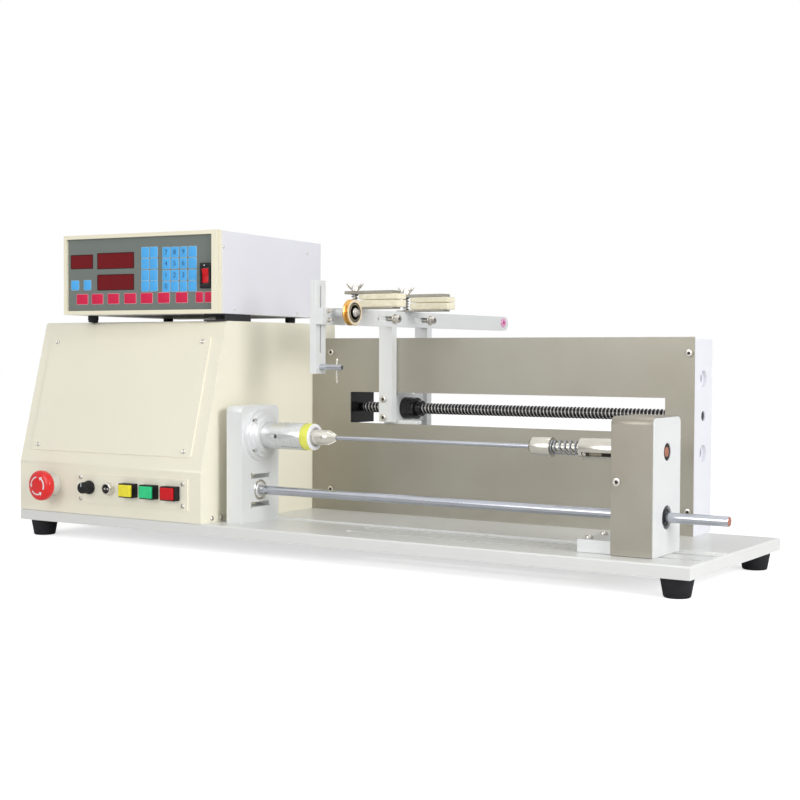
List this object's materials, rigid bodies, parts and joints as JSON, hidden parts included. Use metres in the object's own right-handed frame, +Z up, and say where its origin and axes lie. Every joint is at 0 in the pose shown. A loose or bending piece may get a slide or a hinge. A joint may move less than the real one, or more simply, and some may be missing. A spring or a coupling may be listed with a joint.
{
  "type": "wire coil winding machine",
  "caption": "Bench coil winder on a slotted base: headstock spindle, sliding tailstock, screw-driven wire traverse with felt tensioners, sloped housing and keypad controller.",
  "frame": {"origin": "centre of the bounding box's bottom face, at the level the rubber feet stand on", "axes": "+X along the spindle from the housing to the tailstock, +Y from the controls to the rear, +Z up"},
  "size_m": [0.976, 0.565, 0.4019],
  "materials": {
    "base_metal": "satin anodised",
    "foot_rubber": "matte",
    "screw_steel": "bright",
    "cream_paint": "fine textured enamel",
    "white_paint": "smooth enamel",
    "black_plastic": "matte",
    "bezel_plastic": "fine grain",
    "keypad_membrane": "satin film",
    "black_metal": "black oxide",
    "circuit_board": "board lacquer",
    "aluminium": "fine milled",
    "flange_steel": "turned",
    "belt_rubber": "matte",
    "stainless": "brushed",
    "polished_steel": "ground",
    "thread_steel": "black oxide, oiled",
    "yellow_ring": "anodised",
    "eyelet_ceramic": "glazed",
    "felt": "pressed wool",
    "spring_steel": "drawn wire",
    "brass": "turned",
    "red_plastic": "gloss",
    "yellow_plastic": "gloss",
    "green_plastic": "gloss"
  },
  "bodies": {
    "root": {"base_plate": "base_metal", "rubber_feet": "foot_rubber", "frame_screws": "screw_steel", "housing_cover": "cream_paint", "housing_body": "cream_paint", "front_panels": "cream_paint", "panel_fittings": "black_plastic", "controller_bezel": "bezel_plastic", "controller_keypad": "keypad_membrane", "controller_cover": "white_paint", "controller_stand": "black_metal", "control_electronics": "circuit_board", "headstock_plate": "aluminium", "spindle_flange": "flange_steel", "shaft_bearing_block": "aluminium", "drive_motors": "black_metal", "drive_belts": "belt_rubber", "traverse_back_panel": "stainless", "traverse_end_plates": "white_paint", "screw_support_block": "black_metal", "traverse_guide_rods": "polished_steel"},
    "spindle": {"spindle": "flange_steel", "spindle_ring": "yellow_ring", "collet_chuck": "polished_steel", "mandrel_rod": "polished_steel"},
    "drive_shaft": {"drive_shaft": "polished_steel"},
    "motor_pulley": {"motor_pulley": "aluminium"},
    "lead_screw": {"lead_screw": "thread_steel"},
    "carriage": {"carriage_block": "aluminium", "lead_screw_nut": "black_metal", "carriage_posts": "aluminium", "guide_arm": "aluminium", "arm_hardware": "screw_steel", "wire_eyelet": "eyelet_ceramic", "lower_felts": "felt", "front_tension_spring": "spring_steel", "rear_tension_spring": "spring_steel"},
    "front_pressure": {"front_pressure_plate": "stainless", "front_upper_felt": "felt"},
    "rear_pressure": {"rear_pressure_plate": "stainless", "rear_upper_felt": "felt"},
    "front_wing_nut": {"front_wing_nut": "screw_steel"},
    "rear_wing_nut": {"rear_wing_nut": "screw_steel"},
    "guide_pulley": {"guide_pulley": "brass"},
    "wire_guide": {"wire_guide_plate": "aluminium", "wire_guide_tip": "polished_steel"},
    "tailstock": {"tailstock_cover": "stainless", "tailstock_frame": "aluminium", "tailstock_clamp": "screw_steel", "tail_belt": "belt_rubber"},
    "tail_spindle": {"tail_spindle": "flange_steel", "tail_spring": "spring_steel"},
    "tail_plunger": {"tail_plunger": "polished_steel"},
    "tail_drive_pulley": {"tail_drive_pulley": "aluminium"},
    "emergency_stop": {"emergency_stop_button": "red_plastic"},
    "speed_knob": {"speed_knob": "black_plastic"},
    "yellow_button": {"yellow_button": "yellow_plastic"},
    "green_button": {"green_button": "green_plastic"},
    "red_button": {"red_button": "red_plastic"},
    "rocker": {"rocker_switch": "red_plastic"}
  },
  "joints": [
    {"name": "spindle_spin", "type": "hinge", "parent": "root", "child": "spindle", "pos_m": [-0.127, -0.187, 0.1448], "axis": [1, 0, 0], "continuous": true},
    {"name": "drive_shaft_spin", "type": "hinge", "parent": "root", "child": "drive_shaft", "pos_m": [-0.127, -0.187, 0.0755], "axis": [1, 0, 0], "continuous": true},
    {"name": "motor_spin", "type": "hinge", "parent": "root", "child": "motor_pulley", "pos_m": [-0.22, -0.0745, 0.1195], "axis": [1, 0, 0], "continuous": true},
    {"name": "carriage_slide", "type": "slide", "parent": "root", "child": "carriage", "axis": [1, 0, 0], "range_m": [-0.046, 0.366]},
    {"name": "lead_screw_spin", "type": "hinge", "parent": "root", "child": "lead_screw", "pos_m": [0.112, 0.00725, 0.1753], "axis": [1, 0, 0], "continuous": true},
    {"name": "guide_pulley_spin", "type": "hinge", "parent": "carriage", "child": "guide_pulley", "pos_m": [-0.005, -0.1602, 0.2979], "axis": [1, 0, 0], "continuous": true},
    {"name": "wire_guide_slide", "type": "slide", "parent": "carriage", "child": "wire_guide", "axis": [0, 0, 1], "range_m": [-0.029, 0.038]},
    {"name": "front_wing_nut_turn", "type": "hinge", "parent": "front_pressure", "child": "front_wing_nut", "pos_m": [-0.0346, -0.1119, 0.3285], "axis": [0, 0, 1], "range_deg": [0, 1351]},
    {"name": "front_pressure_lift", "type": "slide", "parent": "carriage", "child": "front_pressure", "axis": [0, 0, 1], "range_m": [0, 0.003], "deforming": ["front_tension_spring"]},
    {"name": "rear_wing_nut_turn", "type": "hinge", "parent": "rear_pressure", "child": "rear_wing_nut", "pos_m": [-0.0346, 0.0075, 0.3285], "axis": [0, 0, 1], "range_deg": [0, 1351]},
    {"name": "rear_pressure_lift", "type": "slide", "parent": "carriage", "child": "rear_pressure", "axis": [0, 0, 1], "range_m": [0, 0.003], "deforming": ["rear_tension_spring"]},
    {"name": "tailstock_slide", "type": "slide", "parent": "root", "child": "tailstock", "axis": [1, 0, 0], "range_m": [-0.005, 0.05]},
    {"name": "tail_spindle_spin", "type": "hinge", "parent": "tailstock", "child": "tail_spindle", "pos_m": [0.378, -0.187, 0.1448], "axis": [1, 0, 0], "continuous": true},
    {"name": "tail_drive_pulley_spin", "type": "hinge", "parent": "tailstock", "child": "tail_drive_pulley", "pos_m": [0.398, -0.187, 0.0755], "axis": [1, 0, 0], "continuous": true},
    {"name": "tail_plunger_slide", "type": "slide", "parent": "tail_spindle", "child": "tail_plunger", "axis": [1, 0, 0], "range_m": [0, 0.012], "stiffness_N_per_m": 1200, "springref_m": -0.006, "deforming": ["tail_spring"]},
    {"name": "emergency_stop_push", "type": "slide", "parent": "root", "child": "emergency_stop", "axis": [0, 1, 0], "range_m": [0, 0.005]},
    {"name": "speed_knob_turn", "type": "hinge", "parent": "root", "child": "speed_knob", "pos_m": [-0.356, -0.2545, 0.0715], "axis": [0, 1, 0], "range_deg": [-150, 150]},
    {"name": "yellow_button_push", "type": "slide", "parent": "root", "child": "yellow_button", "axis": [0, 1, 0], "range_m": [0, 0.0025], "stiffness_N_per_m": 400},
    {"name": "green_button_push", "type": "slide", "parent": "root", "child": "green_button", "axis": [0, 1, 0], "range_m": [0, 0.0025], "stiffness_N_per_m": 400},
    {"name": "red_button_push", "type": "slide", "parent": "root", "child": "red_button", "axis": [0, 1, 0], "range_m": [0, 0.0025], "stiffness_N_per_m": 400},
    {"name": "rocker_tilt", "type": "hinge", "parent": "root", "child": "rocker", "pos_m": [-0.18496, -0.22073, 0.345], "axis": [0.9952, 0.0976, 0], "range_deg": [-14, 0]}
  ],
  "couplings": [
    {"joint": "drive_shaft_spin", "follows": "spindle_spin", "ratio": 1},
    {"joint": "motor_spin", "follows": "spindle_spin", "ratio": 1},
    {"joint": "tail_spindle_spin", "follows": "spindle_spin", "ratio": 1},
    {"joint": "tail_drive_pulley_spin", "follows": "spindle_spin", "ratio": 1},
    {"joint": "lead_screw_spin", "follows": "carriage_slide", "rad_per_m": -1256.6},
    {"joint": "front_wing_nut_turn", "follows": "front_pressure_lift", "rad_per_m": 7854},
    {"joint": "rear_wing_nut_turn", "follows": "rear_pressure_lift", "rad_per_m": 7854}
  ]
}
